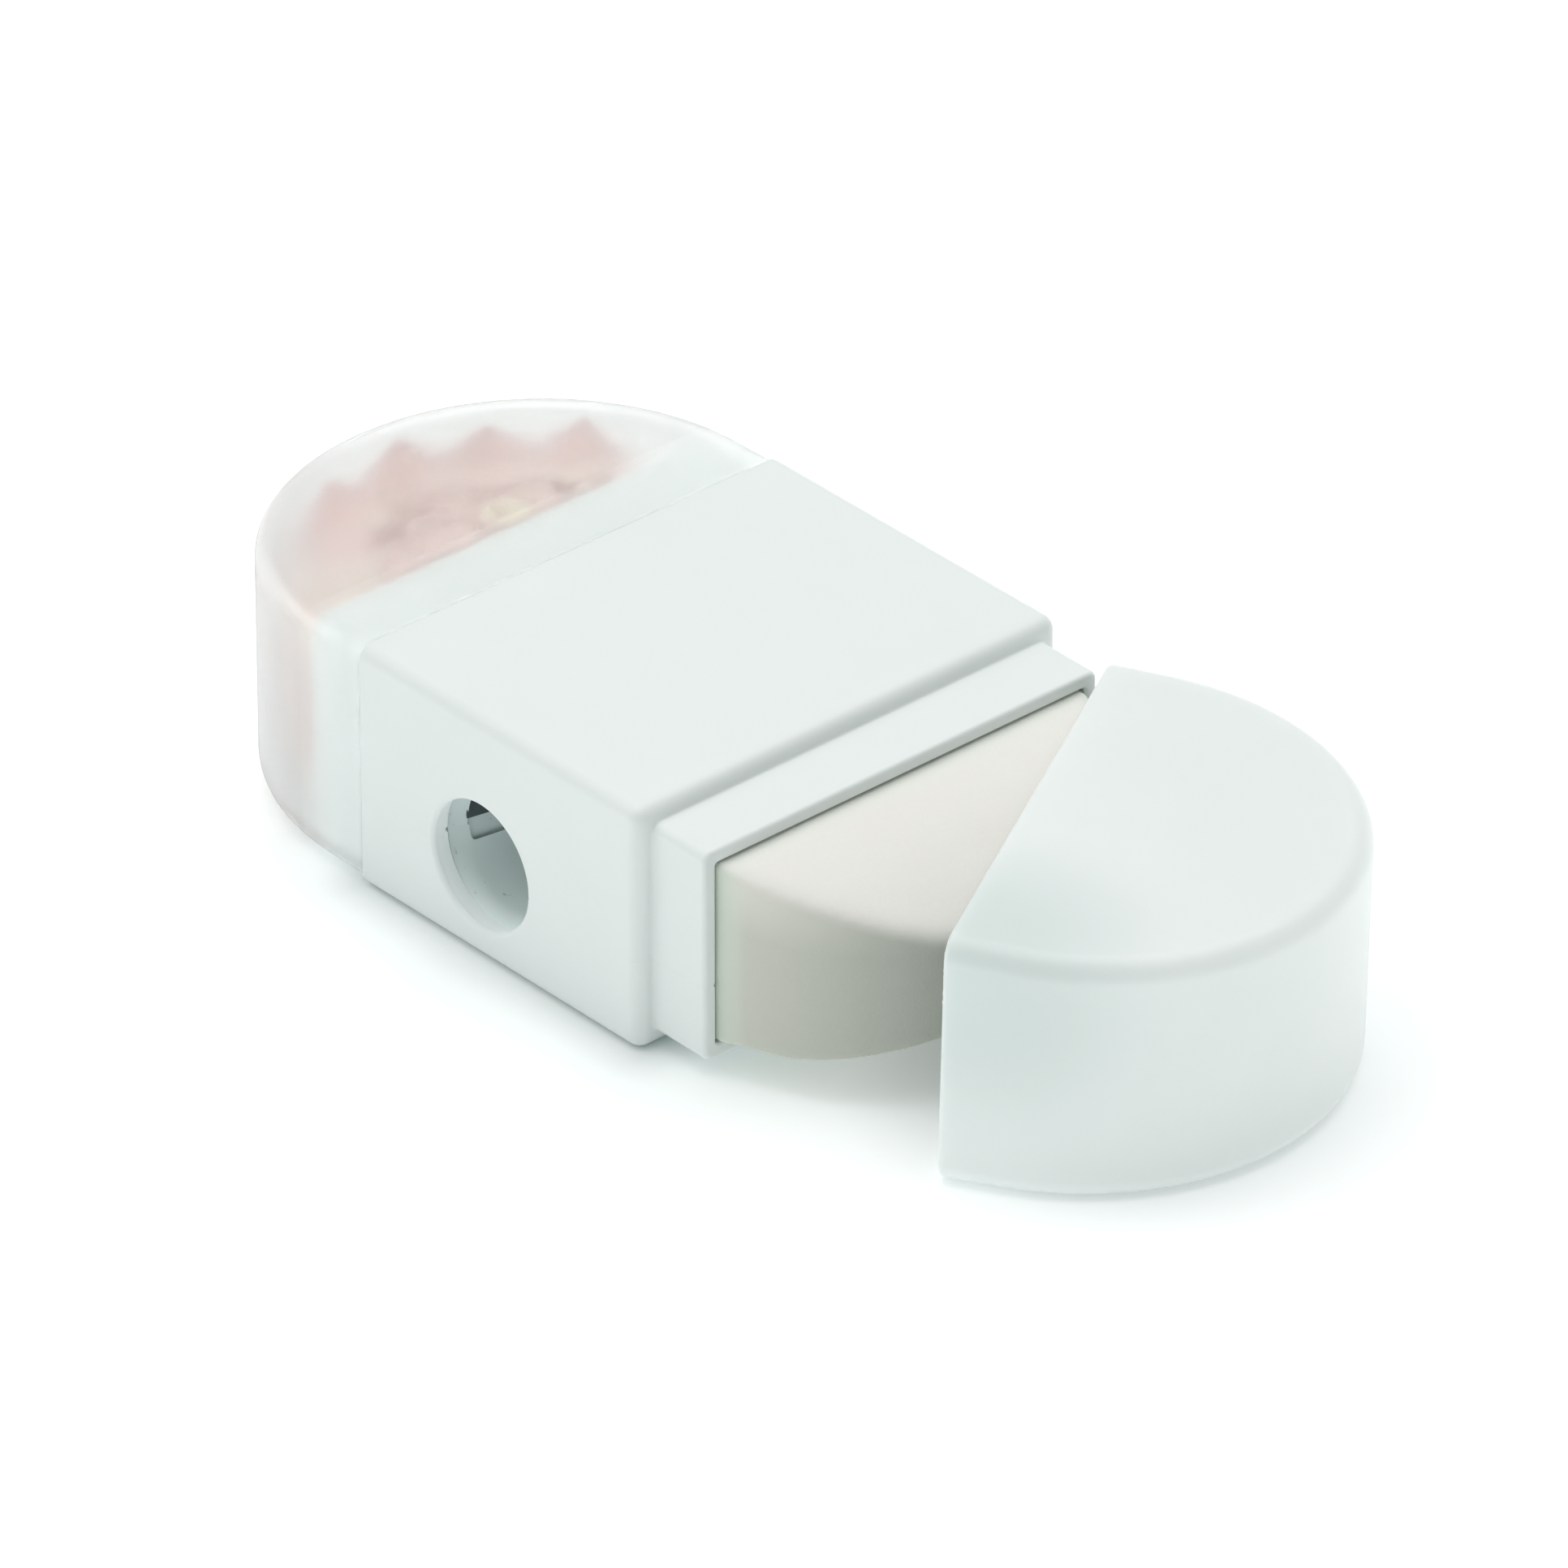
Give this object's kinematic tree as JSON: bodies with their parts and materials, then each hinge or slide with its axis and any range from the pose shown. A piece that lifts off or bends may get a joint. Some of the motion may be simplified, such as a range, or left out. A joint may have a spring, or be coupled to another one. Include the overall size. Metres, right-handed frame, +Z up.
{
  "type": "pencil sharpener with eraser",
  "caption": "Flat round-ended pencil sharpener in a white housing, with a frosted shavings container on one end and a capped eraser on the other.",
  "frame": {"origin": "middle of the housing's underside, on the surface it stands on", "axes": "+X along the object towards the eraser, +Y away from the pencil hole, +Z up"},
  "size_m": [0.0755, 0.0353, 0.016],
  "materials": {
    "housing_white": "satin moulded white",
    "insert_white": "matt moulded white",
    "blade_steel": "ground steel",
    "screw_steel": "plated steel",
    "eraser_cream": "matt cream rubber",
    "cap_white": "satin moulded white",
    "frosted_clear": "frosted clear"
  },
  "bodies": {
    "housing": {"lower_shell": "housing_white", "upper_shell": "housing_white", "sharpener_insert": "insert_white", "blade": "blade_steel", "blade_screw": "screw_steel", "eraser": "eraser_cream"},
    "container": {"shavings_container": "frosted_clear"},
    "cap": {"eraser_cap": "cap_white"}
  },
  "joints": [
    {"name": "container_pull_off", "type": "slide", "parent": "housing", "child": "container", "axis": [-1, 0, 0], "range_m": [0, 0.02]},
    {"name": "cap_pull_off", "type": "slide", "parent": "housing", "child": "cap", "axis": [1, 0, 0], "range_m": [0, 0.02]}
  ]
}
